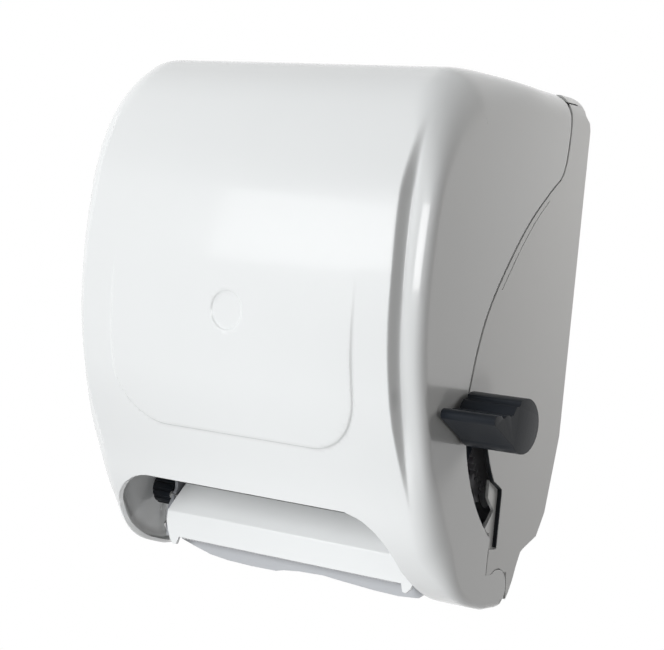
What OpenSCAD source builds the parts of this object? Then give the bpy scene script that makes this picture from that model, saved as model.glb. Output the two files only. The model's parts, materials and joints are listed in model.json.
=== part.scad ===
// Lever paper towel dispenser for the wall: a rear housing, a front cover hinged at the bottom,
// and a feed mechanism worked by a lever at the right side.
// X runs across the front, Y runs back to the wall, Z is up. Heights below are measured from the
// cover's lowest point; seated() then lowers everything, so that the origin is the centre of the
// wall screws on the back face.

/* [Case] */
// Width over the side walls
case_w = 320; // [300:5:380]
// Height from the cover's lowest point to its top
case_h = 398; // [380:2:470]
// Depth from the wall to the side rims of the cover
case_d = 225; // [215:1:270]
// Thickness of the cover's wall
cover_wall = 3; // [2.4:0.1:3.6]
// Thickness of the housing's wall
housing_wall = 3.4; // [3.2:0.1:4]
// Rounding between the front and the sides
corner_r = 20; // [14:1:24]
// Gap along the seam between the cover and the housing
seam_gap = 2.4; // [1.6:0.1:3.5]

/* [Cover] */
// How far the middle bulge stands out of the side rims
bulge_rise = 10; // [4:0.5:13]
// Half width of the bulge at the foot of its flanks
bulge_half_w = 145.5; // [136:0.5:147]
// How far the raised panel stands out of the bulge
panel_rise = 1.4; // [0.8:0.1:2]
// Half width of the raised panel
panel_half_w = 112; // [90:1:116]
// Height of the panel's lower edge
panel_z = 114; // [100:1:130]
// Radius of the round badge recess, which is bare
disc_r = 14; // [10:1:18]
// Height of the badge recess
disc_z = 207; // [190:1:230]
// Height of the upper edge of the front cut-out
cutout_z = 67.5; // [60:0.5:76]
// Height of the cover's hinge pins
hinge_z = 15; // [14:0.5:18]
// Distance of the hinge pins from the wall
hinge_y = 78; // [74:1:84]
// Radius of the hinge pins
hinge_pin_r = 3; // [2.5:0.1:3.5]

/* [Lever] */
// Height of the lever's pivot
lever_z = 160; // [154:1:168]
// Distance of the lever's pivot from the wall
lever_y = 17; // [16:0.5:19]
// Radius of the slot's front edge about the pivot
slot_outer_r = 131; // [126:1:134]
// Radius of the slot's rear edge about the pivot
slot_inner_r = 102; // [100:1:106]
// Direction of the lever at rest, in degrees from +Y over +Z
lever_rest = 186.2; // [184:0.2:190]
// Stroke of the lever in degrees
lever_stroke = 36; // [30:1:37]
// Length of the grip outside the case
grip_l = 44; // [36:1:60]
// Radius of the grip
grip_r = 20; // [16:0.5:22]
// Radius of the lever's pivot pin
pivot_pin_r = 5; // [4:0.5:6]

/* [Feed] */
// Distance of the drive roller's axis from the wall
roller_y = 104; // [102:0.5:106]
// Height of the drive roller's axis
roller_z = 48; // [46:0.5:50]
// Radius of the rubber sleeves of the drive roller
roller_r = 12; // [10:0.5:13]
// Radius of the drive shaft
shaft_r = 4; // [3:0.5:5]
// Radius of the pressure roller
press_r = 8; // [6:0.5:9]
// Half width between the side frames
frame_x = 121.5; // [110:0.5:123]
// Thickness of the side frames
frame_t = 3; // [2.5:0.5:4]
// Gear module
gear_m = 2; // [1.8:0.1:2.1]
// Radial running clearance of pins and shafts
run_fit = 0.05; // [0.02:0.01:0.1]

/* [Roll] */
// Diameter of the largest towel roll
roll_d = 203; // [180:1:205]
// Width of the towel roll
roll_w = 203; // [180:1:206]
// Radius of the core hubs
hub_r = 18.5; // [16:0.5:24]
// Distance of the roll's axis from the wall
roll_y = 115; // [110:1:130]
// Height of the roll's axis above the cover's lowest point
roll_z = 268; // [266:1:290]

/* [Wall screws] */
// Distance between the screws across the back
screw_w = 180; // [120:5:200]
// Distance between the screws up the back
screw_h = 180; // [150:5:190]
// Radius of the screw holes
screw_hole_r = 2.75; // [2:0.25:3.5]
// Height of the screw pattern's centre
screw_z = 240; // [235:1:245]

/* [Hidden] */
$fn = 48;

hw = case_w / 2;
shell_white = [0.86, 0.87, 0.88];
steel = [0.72, 0.73, 0.75];
black = [0.14, 0.15, 0.17];
grey = [0.55, 0.56, 0.58];

// ---------------------------------------------------------------- helpers

module seated() translate([0, 0, -screw_z]) children();

// Extrudes a side view, drawn as [y, z], from x0 to x1.
module along_x(x0, x1) translate([x0, 0, 0]) rotate([90, 0, 90]) linear_extrude(x1 - x0) children();

// Extrudes a front view, drawn as [x, z], from y0 back to y1.
module along_y(y0, y1) translate([0, y1, 0]) rotate([90, 0, 0]) linear_extrude(y1 - y0) children();

// A rod along X.
module rod_x(r, x0, x1, y, z) translate([x0, y, z]) rotate([0, 90, 0]) cylinder(r = r, h = x1 - x0);

// A rod along Y.
module rod_y(r, y0, y1, x, z) translate([x, y0, z]) rotate([-90, 0, 0]) cylinder(r = r, h = y1 - y0);

// A rod along Z.
module rod_z(r, z0, z1, x, y) translate([x, y, z0]) cylinder(r = r, h = z1 - z0);

// Both sides of the case.
module both_sides() { children(); mirror([1, 0, 0]) children(); }

function polar(r, a, c = [0, 0]) = [c[0] + r * cos(a), c[1] + r * sin(a)];
function arc(r, a0, a1, n, c = [0, 0]) = [for (k = [0:n]) polar(r, a0 + (a1 - a0) * k / n, c)];
function smooth(t) = let (s = max(0, min(1, t))) s * s * (3 - 2 * s);
function mix(a, b, t) = a + (b - a) * t;

// A smooth curve through a few points.
function curve(p, steps) = concat([for (i = [0:len(p) - 2], k = [0:steps - 1])
    let (t = k / steps, a = p[max(i - 1, 0)], b = p[i], c = p[i + 1], d = p[min(i + 2, len(p) - 1)])
    0.5 * (2 * b + (c - a) * t + (2 * a - 5 * b + 4 * c - d) * t * t
           + (3 * b - a - 3 * c + d) * t * t * t)], [p[len(p) - 1]]);

// Joins rings of as many points each into one closed solid.
module loft(rings) {
    n = len(rings[0]);
    m = len(rings);
    points = [for (r = rings, p = r) p];
    sides = [for (j = [0:m - 2], i = [0:n - 1]) let (k = (i + 1) % n)
        each [[j * n + i, (j + 1) * n + k, j * n + k], [j * n + i, (j + 1) * n + i, (j + 1) * n + k]]];
    polyhedron(points, concat(sides, [[for (i = [0:n - 1]) i]], [[for (i = [n - 1:-1:0]) (m - 1) * n + i]]));
}

// ---------------------------------------------------------------- the case's outline

// The cover's side view over its crown, from the wall over the top and down the front.
crown = curve([[0, case_h - 4], [-60, case_h - 3], [-(case_d - 72), case_h], [-(case_d - 38), case_h - 12],
    [-(case_d - 16), case_h - 38], [-(case_d - 6), case_h - 78], [-case_d, case_h - 145],
    [-(case_d - 2), 200], [-(case_d - 11), 156], [-(case_d - 29), 102], [-(case_d - 52), 54],
    [-(case_d - 78), 23], [-(case_d - 103), 7], [-(hinge_y + 14), 0]], 2);
crown_n = len(crown);
function crown_normal(i) = let (d = crown[min(i + 1, crown_n - 1)] - crown[max(i - 1, 0)])
    [d[1], -d[0]] / norm(d);

// The rounding between front and side gets smaller at the cover's feet.
foot_r = 5;
function side_r(z) = mix(foot_r, corner_r, smooth(z / 45));

// The seam between the cover and the housing, from the top down to the lever slot.
seam = curve([[-36, case_h + 6], [-34.5, case_h - 14], [-32.6, case_h - 34], [-37.4, case_h - 64],
    [-55, case_h - 80], [-81.6, case_h - 104], [-106, case_h - 134], [-128.7, case_h - 169],
    [-140.6, case_h - 199], [-(lever_y + slot_outer_r - 0.2), lever_z + 6]], 3);

pivot = [-lever_y, lever_z];
hinge = [-hinge_y, hinge_z];
roller = [-roller_y, roller_z];
roll = [-roll_y, roll_z];
slot_end = 234;          // direction of the slot's lower end from the pivot
ear_y = -(hinge_y + 17.5); // front edge of the housing's hinge ear
lobe_r = 15;             // radius of the cover's hinge lobe

// ---------------------------------------------------------------- front cover

// Foot of the bulge's steep flank, and how far the bulge stands out at a height.
function groove_x(z) = bulge_half_w - 1.5 * smooth((z - 230) / 70);
function bulge(z) = bulge_rise * smooth((z - 72) / 88) * smooth((case_h - 36 - z) / 66);

// Share of the bulge's height, by the distance inside the flank's foot.
bulge_steps = [[-14, 1], [-7, 0.985], [-4.6, 0.82], [-2.8, 0.42], [-1.3, 0.1], [0, 0]];
side_steps = [0.3, 0.56, 0.78, 0.92, 1];

// Distance across and share of the bulge for every column of the cover's skin, on one side.
function columns(z, half) = let (g = min(groove_x(z), hw - 10) - 0.9 * (hw - half))
    concat([[0, 1], [g * 0.55, 1]], [for (s = bulge_steps) [g + s[0], s[1]]],
        [for (s = side_steps) [mix(g, half, s), 0]]);
// How far the skin lies inside the crown at x, at an inset t of the wall.
function skin_inset(x, z, t) = let (r = max(side_r(z) - t, 0.6), c = hw - t - r, u = max(x - c, 0))
    t + r - sqrt(max(r * r - u * u, 0));
column_n = 13;

// One ring of the cover's form: its section at column j, mirrored to the left for a negative side.
function cover_ring(j, side, t) = let (
    half = hw - t,
    skin = [for (i = [0:crown_n - 1]) let (p = crown[i], c = columns(p[1], half)[j],
        q = p + crown_normal(i) * (bulge(p[1]) * c[1] - skin_inset(c[0], p[1], t)))
        [side * c[0], min(q[0], 4), q[1]]],
    last = skin[crown_n - 1])
    concat(skin, [[last[0], 4, last[2]]]);
function cover_rings(t) = concat([for (j = [column_n - 1:-1:1]) cover_ring(j, -1, t)],
    [for (j = [0:column_n - 1]) cover_ring(j, 1, t)]);

// The region behind the seam, the slot's front edge and the hinge lobe, which the cover leaves free.
module behind_seam() difference() {
    polygon(concat([[20, case_h + 6]], seam,
        arc(slot_outer_r, 178.5, slot_end, 10, pivot),
        [[ear_y, 46], [ear_y, hinge_z + 12], [-hinge_y, hinge_z + 12], [-hinge_y, -20], [20, -20]]));
    translate(hinge) circle(lobe_r);
}

// The front cut-out: wide at the left, where it bares the feed knob, and a leg at the right.
module cutout_outline() {
    left_r = 52;
    right_r = 41.5;
    left_x = -(hw - 60);
    right_x = hw - 81;
    polygon([[left_x - left_r, -20], [left_x - left_r, cutout_z - left_r], [left_x, cutout_z - 10],
        [right_x, cutout_z - 10], [right_x + right_r, cutout_z - right_r + 2], [right_x + right_r + 9, 3],
        [right_x + right_r + 9, -20]]);
    translate([left_x, cutout_z - left_r]) circle(left_r);
    translate([right_x, cutout_z - right_r]) circle(right_r);
    translate([left_x, cutout_z - 20]) square([right_x - left_x, 20]);
}

module panel_outline() {
    r = 45;
    hull() for (s = [-1, 1]) {
        translate([s * (panel_half_w - r), panel_z + r]) circle(r);
        translate([s * (panel_half_w - 1), 262]) circle(1);
    }
}

// Upright stiffening rib inside the cover's front.
module cover_rib(x) hull() for (z = [150, 300])
    translate([x, -(case_d - 6), z]) cube([2, 14, 8], center = true);

lock_y = -60;          // the lock's axis in the cover's top
lock_top = case_h - 3.2; // seat of the lock's flange
strike_top = case_h - housing_wall - 6; // underside of the housing's roof

module cover_solid() {
    difference() {
        loft(cover_rings(0));
        difference() {
            loft(cover_rings(cover_wall));
            for (x = [-90, -45, 45, 90]) cover_rib(x);
            // Ribs beside the lock.
            for (s = [-1, 1]) hull() for (z = [5, 16])
                translate([s * 40, -72, case_h - z]) cube([2.4, 50 - 2 * z, 2], center = true);
            // Boss of the lock.
            rod_z(13, case_h - 22, case_h + 2, 0, lock_y);
            // Stiffening of the lower edge over the cut-out.
            hull() for (s = [-1, 1]) translate([s * 80, -(case_d - 47), cutout_z + 9]) cube([2, 8, 2], center = true);
        }
    }
}

module front_cover() color(shell_white) seated() difference() {
    union() {
        cover_solid();
        // Raised panel.
        intersection() {
            loft([for (x = [-(panel_half_w + 2), panel_half_w + 2]) panel_ring(x)]);
            along_y(-case_d - 40, -case_d + 60) panel_outline();
        }
    }
    along_x(-hw - 2, hw + 2) behind_seam();
    along_y(-case_d - 40, -62) cutout_outline();
    // Badge recess, which is bare.
    difference() {
        rod_y(disc_r, -case_d - 40, -case_d, 0, disc_z);
        loft([for (x = [-(disc_r + 2), disc_r + 2]) disc_floor_ring(x)]);
    }
    // Holes for the hinge pins and the lock barrel.
    both_sides() rod_x(hinge_pin_r, hw - 8, hw - 1.2, -hinge_y, hinge_z);
    rod_z(9.5, case_h - 40, case_h + 20, 0, lock_y);
    rod_z(11.6, lock_top, case_h + 20, 0, lock_y);
}

// Rings of the panel's face and of the badge recess's floor: the crown moved out and closed behind.
function front_ring(x, rise, z0, z1) = let (
    p = [for (i = [0:crown_n - 1]) if (crown[i][1] > z0 && crown[i][1] < z1 && crown[i][0] < -100)
        crown[i] + crown_normal(i) * (bulge(crown[i][1]) + rise[0]
            + rise[1] * smooth((250 - crown[i][1]) / 70))])
    concat([for (q = p) [x, q[0], q[1]]],
        [[x, -(case_d - 12 - cover_wall), p[len(p) - 1][1]], [x, -(case_d - 12 - cover_wall), p[0][1]]]);
function panel_ring(x) = front_ring(x, [-0.3, panel_rise + 0.3], 96, 300);
function disc_floor_ring(x) = front_ring(x, [-1, panel_rise], 150, 280);

module hinge_pins() color(steel) seated() both_sides() {
    rod_x(hinge_pin_r, hw - 11, hw - 1.2, -hinge_y, hinge_z);
}

// ---------------------------------------------------------------- lock in the cover's top

module lock_barrel() color(steel) seated() difference() {
    union() {
        rod_z(9.5, case_h - 28, lock_top, 0, lock_y);
        rod_z(11.5, lock_top, lock_top + 1.4, 0, lock_y);
    }
    rod_z(6.5 + run_fit, case_h - 30, lock_top + 3, 0, lock_y);
}

module lock_nut() color(steel) seated() difference() {
    translate([0, lock_y, case_h - 26]) cylinder(r = 13.5, h = 4, $fn = 6);
    rod_z(9.5, case_h - 30, case_h - 20, 0, lock_y);
}

module lock_cylinder() color(steel) seated() difference() {
    union() {
        rod_z(6.5, case_h - 28, lock_top + 1.2, 0, lock_y);
        translate([-3, lock_y - 3, case_h - 31.5]) cube([6, 6, 3.5]);
    }
    translate([-0.9, lock_y - 4, lock_top - 12]) cube([1.8, 8, 20]);
    rod_z(1.6, case_h - 40, case_h - 24, 0, lock_y);
}

// The cam points to the wall when open and to the right, behind the strike's post, when locked.
module lock_cam() color(steel) seated() difference() {
    hull() {
        rod_z(7, case_h - 31.3, case_h - 29, 0, lock_y);
        rod_z(4, case_h - 31.3, case_h - 29, 0, lock_y + 20);
    }
    translate([-3, lock_y - 3, case_h - 32]) cube([6, 6, 4]);
}

module cam_screw() color(steel) seated() {
    rod_z(4.6, case_h - 34.2, case_h - 31.5, 0, lock_y);
    rod_z(1.6, case_h - 31.6, case_h - 24, 0, lock_y);
}

// A hook on the roof, in front of which the cam turns to hold the cover shut.
module latch_strike() color(steel) seated() difference() {
    union() {
        translate([15.5, -68, strike_top - 2]) cube([20, 47, 2]);
        translate([15.5, -68, case_h - 34]) cube([13, 2, 23]);
    }
    for (x = strike_screw_x) rod_z(1.6, case_h - 20, case_h, x, -27);
}

strike_screw_x = [20, 31];
module strike_screws() color(steel) seated() for (x = strike_screw_x) {
    rod_z(1.6, strike_top - 2.1, strike_top + 2, x, -27);
    rod_z(3, strike_top - 3.8, strike_top - 2, x, -27);
}

// ---------------------------------------------------------------- rear housing

// The housing's side view: seam, lever slot, hinge ear, swept lower back and top shoulder.
module housing_outline() difference() {
    polygon(concat([[0, case_h - 28], [-2, case_h - 22], [-8, case_h - 17.5]],
        arc(8, 0, 90, 4, [-17, case_h - 12]), [[-34, case_h - 4]],
        [for (p = seam) if (p[1] < case_h - 5) p + [seam_gap, 0]],
        [[-(lever_y + slot_outer_r) + seam_gap, lever_z + 3]],
        slot_arc, [polar(slot_inner_r - 4.3, 222, pivot)],
        [[-hinge_y - 5.6, 91.3], [-hinge_y - 5, 88], [-hinge_y - 5, 46], [ear_y + 1, 46], [ear_y + 1, hinge_z + 12],
         [-hinge_y + 14, hinge_z + 12], [-hinge_y + 16.5, hinge_z - 9], [-hinge_y + 20.2, hinge_z - 3.7],
         [-hinge_y + 24.6, hinge_z + 5], [-hinge_y + 28.5, hinge_z + 16], [-45, 41], [-40, 44], [-22, 52],
         [-12, 70], [0, 130]]));
    translate(hinge) circle(lobe_r + 0.8);
}

// The space inside: open to the front and, before the back wall's foot, to the bottom.
module housing_cavity() polygon([[-housing_wall, 131], [-housing_wall, case_h - 30],
    [-11, case_h - 20], [-12, case_h - 11.4], [-20, case_h - 4 - housing_wall - 2],
    [-60, case_h - 4 - housing_wall - 2], [-300, case_h - 30], [-300, -40], [-60, -40], [-60, 44 + 3],
    [-40.5, 47], [-24.5, 54.2], [-15.2, 71]]);

module inner_ear_outline() hull() {
    translate(hinge) circle(9);
    translate([-hinge_y - 9, 62]) circle(4);
    translate([-hinge_y + 9, 62]) circle(4);
}

// The housing seen from the front, with its rounded upper corners.
module housing_front() polygon(concat([[hw, -10]],
    arc(corner_r, 0, 90, 7, [hw - corner_r, case_h - 2 - corner_r]),
    arc(corner_r, 90, 180, 7, [-hw + corner_r, case_h - 2 - corner_r]), [[-hw, -10]]));

seam_line = [for (p = seam) if (p[1] < case_h - 84 && p[1] > case_h - 162) p];
side_wall = max(housing_wall, cover_wall + 0.8); // the side walls back up the lip along the seam

module rear_housing() color(shell_white) seated() difference() {
    union() {
        difference() {
            intersection() {
                along_x(-hw, hw) housing_outline();
                along_y(-300, 1) housing_front();
            }
            along_x(-hw + side_wall, hw - side_wall) housing_cavity();
            // The tongues behind the hinge lobes are on the side walls only.
            along_x(-hw + side_wall, hw - side_wall) polygon([[-70, -40], [-70, 45], [-39.9, 44], [-39.9, -40]]);
            // A fine line along the seam, a little behind it.
            both_sides() along_x(hw - 0.5, hw + 2) polygon(concat([for (p = seam_line) p + [8, 0]],
                [for (k = [len(seam_line) - 1:-1:0]) seam_line[k] + [9, 0]]));
        }
        // Stop rib behind the slot's rear edge.
        along_x(hw - side_wall - 2.2, hw - side_wall + 0.4) polygon(concat(
            [[-hinge_y - 5, 92], [-hinge_y - 19.6, 98.4]], arc(slot_inner_r + 8, 222.9, 230.5, 3, pivot),
            [polar(127, 230.6, pivot), [-hinge_y - 16, 58.3], [-hinge_y - 5, 58.3]]));
        // Lips behind the seam, so that the gap isn't open.
        both_sides() seam_lip();
        translate([-hw + corner_r + 4, -42, case_h - 9.3])
            cube([2 * (hw - corner_r - 4), 22, 9.3 - 3.5 - cover_wall - 0.4]);
        // The left side has no slot: its wall goes on to the seam.
        along_x(-hw, -hw + side_wall) polygon(concat(
            arc(slot_outer_r - seam_gap, 178, slot_end - 1, 12, pivot),
            arc(slot_inner_r - 8, slot_end - 1, 178, 12, pivot)));
        along_x(-hw + cover_wall + 0.4, -hw + cover_wall + 2.8) polygon(concat(
            arc(slot_outer_r + 5, 178, slot_end - 4, 12, pivot),
            arc(slot_outer_r - 8, slot_end - 4, 178, 12, pivot)));
        // Ledge of the lever's bumper.
        translate([stop_x - 5, stop_p[0] - 5, stop_p[1] + 4]) cube([hw - side_wall - stop_x + 5.4, 10, 3]);
        // Inner hinge ears.
        both_sides() along_x(hw - side_wall - 5.2, hw - side_wall + 0.4) inner_ear_outline();
        // Ribs up the back wall.
        for (x = [-140, -50, 50, 140])
            translate([x - 1.5, -housing_wall - 3, 136]) cube([3, 3.4, case_h - 176]);
        // Bosses round the wall screws.
        for (x = [-1, 1], z = [-1, 1])
            rod_y(9, -housing_wall - 2, -1, x * screw_w / 2, screw_z + z * screw_h / 2);
        // Boss of the lever's pivot pin on the side wall.
        rod_x(9, hw - side_wall - 3, hw - 1, -lever_y, lever_z);
    }
    for (x = [-1, 1], z = [-1, 1])
        rod_y(screw_hole_r, -20, 5, x * screw_w / 2, screw_z + z * screw_h / 2);
    both_sides() rod_x(hinge_pin_r + run_fit, hw - 20, hw - 0.5, -hinge_y, hinge_z);
    rod_x(pivot_pin_r, hw - 12, hw - 1.8, -lever_y, lever_z);
    // Seats of the screws that hold the inner pieces, and of the bumper's stem.
    both_sides() for (z = foot_screws) rod_y(2.2, -20, -1, frame_x - 10, z);
    for (x = arm_screw_places, z = [-12, 12]) rod_y(2.2, -20, -1, x, roll_z + z);
    for (x = strike_screw_x) rod_z(1.6, case_h - 20, strike_top + 2, x, -27);
    rod_z(1.6, stop_p[1], stop_p[1] + 10, stop_x, stop_p[0]);
}

// Dark edging on the slot's rear edge.
slot_arc = arc(slot_inner_r - 1, 178.4, 218, 8, pivot);
slot_edge = concat([for (k = [2:8]) slot_arc[k]], [polar(slot_inner_r - 4.3, 222, pivot)],
    [[-hinge_y - 5.6, 91.3], [-hinge_y - 5, 88], [-hinge_y - 5, 47.2]]);
module slot_liner() color(black) seated() along_x(hw - side_wall + 0.45, hw - 0.15)
    polygon(concat(slot_edge, [for (k = [len(slot_edge) - 1:-1:0]) let (p = slot_edge[k]) p
        + (k > 8 ? [-1, 0] : k == 8 ? [-0.95, -0.5] : k == 7 ? [-0.45, -0.92] : (p - pivot) / norm(p - pivot))]));

// A strip along the seam, just inside the cover's wall.
module seam_lip() {
    lip = [for (p = seam) if (p[1] < case_h - 25 && p[1] > lever_z + 14) p];
    x1 = hw - cover_wall - 0.4;
    along_x(x1 - 2.4, x1) polygon(concat([for (p = lip) p + [-5, 0]],
        [for (k = [len(lip) - 1:-1:0]) lip[k] + [9, 0]]));
}

// ---------------------------------------------------------------- side frames and chute

press = polar(roller_r + press_r + 0.3, 115, roller); // pressure roller's axis
carrier = [-134, 84];                                  // carrier's pivot axis
carrier_r = 3;
nose_y = -129;   // front face of the nose
nose_z0 = 14.5;  // its lower edge
nose_z1 = 34.5;  // its upper edge, where the slope starts
nose_top = [-117.5, 57];

module frame_outline() {
    polygon([[-housing_wall, 132], [-16.5, 74], [-26, 57], [-42, 49], [-62, 49], [-66, 40], [-92, 16], [-124, 13], [-126.5, 34], [-118.5, 52],
        [-122, 72], [-138, 77], [-138, 91], [-100, 108], [-60, 116], [-34, 172], [-housing_wall, 178]]);
    translate(carrier) circle(8);
    translate([pivot[0], pivot[1] + 2]) circle(13);
}

module frame_plate(right) difference() {
    union() {
        along_x(frame_x, frame_x + frame_t) difference() {
            frame_outline();
            translate([-40, 84]) circle(15);
        }
        // Feet on the back wall.
        translate([frame_x - 20, -housing_wall - 3, 133]) cube([21, 3, 45]);
    }
    for (z = foot_screws) rod_y(2.2, -12, 0, frame_x - 10, z);
    rod_x(shaft_r + 2.5, frame_x - 2, frame_x + 5, roller[0], roller[1]);
    rod_x(carrier_r + run_fit, frame_x - 2, frame_x + 5, carrier[0], carrier[1]);
    for (p = nose_screw_places) rod_x(1.6, frame_x - 2, frame_x + 5, p[0], p[1]);
    if (right) {
        rod_x(pivot_pin_r, frame_x - 2, frame_x + 5, pivot[0], pivot[1]);
        rod_x(3, frame_x - 2, frame_x + 5, idler[0], idler[1]);
        rod_x(1.2, frame_x - 2, frame_x + 5, pivot[0] + spring_r, pivot[1] + 11);
    }
}

module left_frame() color(grey) seated() mirror([1, 0, 0]) frame_plate(false);
module right_frame() color(grey) seated() frame_plate(true);

foot_screws = [142, 170];
module frame_screws() color(steel) seated() both_sides() for (z = foot_screws) {
    rod_y(2.2, -housing_wall - 3.1, -1, frame_x - 10, z);
    rod_y(4.2, -housing_wall - 5.4, -housing_wall - 3, frame_x - 10, z);
}

nose_screw_places = [[-123, 22], [-119.5, 46], [-108, 22]]; // the last holds the chute's lip

// The white nose in the cut-out: a face, a rounded edge and a slope up behind the cover's lip.
module nose_section(t) polygon(concat([[nose_y + t, nose_z0], [nose_y + t, nose_z1 - 2]],
    arc(4 - t, 180, 151, 3, [nose_y + 4, nose_z1 - 1.2]),
    [nose_top + [t * 0.88, -t * 0.48 + t * 0.4]], [[-100, 57]], [[-100, nose_z0]]));

module chute_nose() color(shell_white) seated() {
    difference() {
        along_x(-frame_x, frame_x) intersection() {
            nose_section(0);
            polygon([[-140, 0], [-140, 70], nose_top + [2.6, 0.1], [nose_y + 6.5, nose_z1 - 2],
                [nose_y + 6.5, 0]]);
        }
        along_x(-frame_x + 5, frame_x - 5) polygon([[nose_y + 2.6, 0], [nose_y + 2.6, nose_z1 - 2.2],
            nose_top + [2.5, 1.5], [-90, 60], [-90, 0]]);
        both_sides() for (p = nose_screw_places) rod_x(1.6, frame_x - 4.5, frame_x + 5, p[0], p[1]);
        for (x = [-90, 0, 90]) rod_y(1.6, nose_y + 1, nose_y + 10, x, 23);
        // The corners: cut back beside the feed knob, and rounded at the foot.
        both_sides() along_y(-140, -100) polygon([[frame_x + 3, 34], [frame_x - 0.6, 36], [frame_x - 1.6, 41],
            [frame_x - 4.8, 49.5], [frame_x - 7.6, 58], [frame_x - 7.6, 72], [frame_x + 3, 72]]);
        both_sides() along_y(-140, -100) polygon([[frame_x + 3, 25], [frame_x - 0.2, 25], [frame_x - 2.2, 18.2],
            [frame_x - 4.2, 14], [frame_x - 4.2, 5], [frame_x + 3, 5]]);
    }
    // Feet at the face's ends.
    both_sides() along_y(nose_y, nose_y + 2.6) polygon([[frame_x - 3.4, nose_z0 + 1.4], [frame_x - 5, 11.6],
        [frame_x - 9, 7.8], [frame_x - 12, 8.4], [frame_x - 14, nose_z0 + 0.6]]);
}

module nose_screws() color(steel) seated() both_sides() for (p = nose_screw_places) {
    rod_x(1.6, frame_x - 4, frame_x + frame_t + 0.1, p[0], p[1]);
    rod_x(3, frame_x + frame_t, frame_x + frame_t + 1.8, p[0], p[1]);
}

tear_pitch = 3;
tear_n = 70;
module tear_bar() color(steel) seated() difference() {
    translate([0, nose_y + 2.6, 0]) rotate([-90, 0, 0]) linear_extrude(0.9) mirror([0, 1, 0])
        polygon(concat([[-tear_n * tear_pitch / 2, 29], [tear_n * tear_pitch / 2, 29]],
            [for (k = [tear_n:-1:0]) each [[(k - tear_n / 2) * tear_pitch, 14.9],
                if (k > 0) [(k - 0.5 - tear_n / 2) * tear_pitch, 12.9]]]));
    for (x = [-90, 0, 90]) rod_y(1.6, nose_y, nose_y + 10, x, 23);
}

module tear_bar_screws() color(steel) seated() for (x = [-90, 0, 90]) {
    rod_y(1.6, nose_y + 1, nose_y + 3.5, x, 23);
    rod_y(3, nose_y + 3.5, nose_y + 5, x, 23);
}

// The chute's rear lip, which shows under the nose: its lower edge rises at the left.
module chute_lip() color(shell_white) seated() difference() {
    union() {
        along_y(-115.2, -113.2) polygon([[-frame_x, 30], [-frame_x, 16], [-frame_x + 7, 11], [-frame_x + 22, 7],
            [-frame_x + 38, 3.2], [-frame_x + 56, 1.4], [-frame_x + 80, 0.8], [-frame_x + 104, 1.2], [-10, 3],
            [5, 4.6], [28, 5.4], [44, 4.2], [75, 2.4], [98, 1.9], [frame_x - 6, 3.4], [frame_x, 8], [frame_x, 30]]);
        both_sides() along_x(frame_x - 3, frame_x) polygon([[-115.2, 16], [-104, 18], [-104, 28], [-115.2, 30]]);
        along_x(-frame_x, frame_x) polygon([[-115.2, 27.5], [-104, 25.5], [-104, 28], [-115.2, 30]]);
    }
    both_sides() rod_x(1.6, frame_x - 6, frame_x + 5, -108, 22);
}

module paper_guide() color(grey) seated() difference() {
    along_x(-frame_x, frame_x) polygon([[-74, 106], [-89, 66], [-88, 58], [-85.6, 58], [-86.6, 65.6],
        [-72, 105]]);
    for (x = [-88:44:88]) translate([x - 6, -95, 50]) cube([12, 20, 14]);
}

module roller_bushes() color(shell_white) seated() both_sides() difference() {
    union() {
        rod_x(shaft_r + 2.5, frame_x, frame_x + frame_t + 0.1, roller[0], roller[1]);
        rod_x(shaft_r + 4, frame_x - 1.4, frame_x, roller[0], roller[1]);
    }
    rod_x(shaft_r + run_fit, frame_x - 4, frame_x + 8, roller[0], roller[1]);
}

// ---------------------------------------------------------------- gears

sector_z = 96;   // teeth of the sector gear's full circle
small_z = 14;    // idler's small gear
large_z = 26;    // idler's large gear
pinion_z = 12;   // drive pinion
pressure_angle = 25;
backlash = 0.22;
large_x = frame_x + frame_t + 2; // first gear plane, 7 wide
sector_x = large_x + 9.5;        // second gear plane, 6 wide
arm_x = sector_x + 7;            // the lever arm, 7 wide

// The idler sits where its small gear meets the sector and its large gear meets the pinion.
centre_a = gear_m * (sector_z + small_z) / 2;
centre_b = gear_m * (large_z + pinion_z) / 2;
line_d = norm(roller - pivot);
line_a = (line_d * line_d + centre_a * centre_a - centre_b * centre_b) / (2 * line_d);
line_u = (roller - pivot) / line_d;
idler = pivot + line_u * line_a + [line_u[1], -line_u[0]] * sqrt(centre_a * centre_a - line_a * line_a);
mesh_a = atan2(idler[1] - pivot[1], idler[0] - pivot[0]) + 360; // from the pivot to the idler
mesh_b = atan2(roller[1] - idler[1], roller[0] - idler[0]) + 360; // from the idler to the roller

function inv(a) = tan(a) * 180 / PI - a;
function half_tooth(r, z) = let (rp = gear_m * z / 2, rb = rp * cos(pressure_angle))
    90 / z - backlash / 4 / rp * 180 / PI + inv(pressure_angle) - inv(r > rb ? acos(rb / r) : 0);
function tooth(z, a) = let (rp = gear_m * z / 2, r0 = rp - 1.15 * gear_m, r1 = rp + 0.9 * gear_m,
    rs = [for (k = [0:3]) mix(max(r0, rp * cos(pressure_angle)), r1, k / 3)])
    concat([polar(r0, a - half_tooth(rs[0], z))], [for (r = rs) polar(r, a - half_tooth(r, z))],
        [for (k = [3:-1:0]) polar(rs[k], a + half_tooth(rs[k], z))], [polar(r0, a + half_tooth(rs[0], z))]);
module gear_outline(z, a) polygon([for (k = [0:z - 1]) each tooth(z, a + 360 * k / z)]);

sector_first = -12;
sector_last = 1;
module sector_outline() {
    r0 = gear_m * sector_z / 2 - 1.15 * gear_m;
    step = 360 / sector_z;
    a0 = mesh_a + (sector_first - 0.6) * step;
    a1 = mesh_a + (sector_last + 0.6) * step;
    polygon(concat([polar(12, a0 - 60), polar(r0, a0)],
        [for (k = [sector_first:sector_last]) each tooth(sector_z, mesh_a + k * step)],
        [polar(r0, a1), polar(12, a1 + 60)]));
    circle(10);
}

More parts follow.
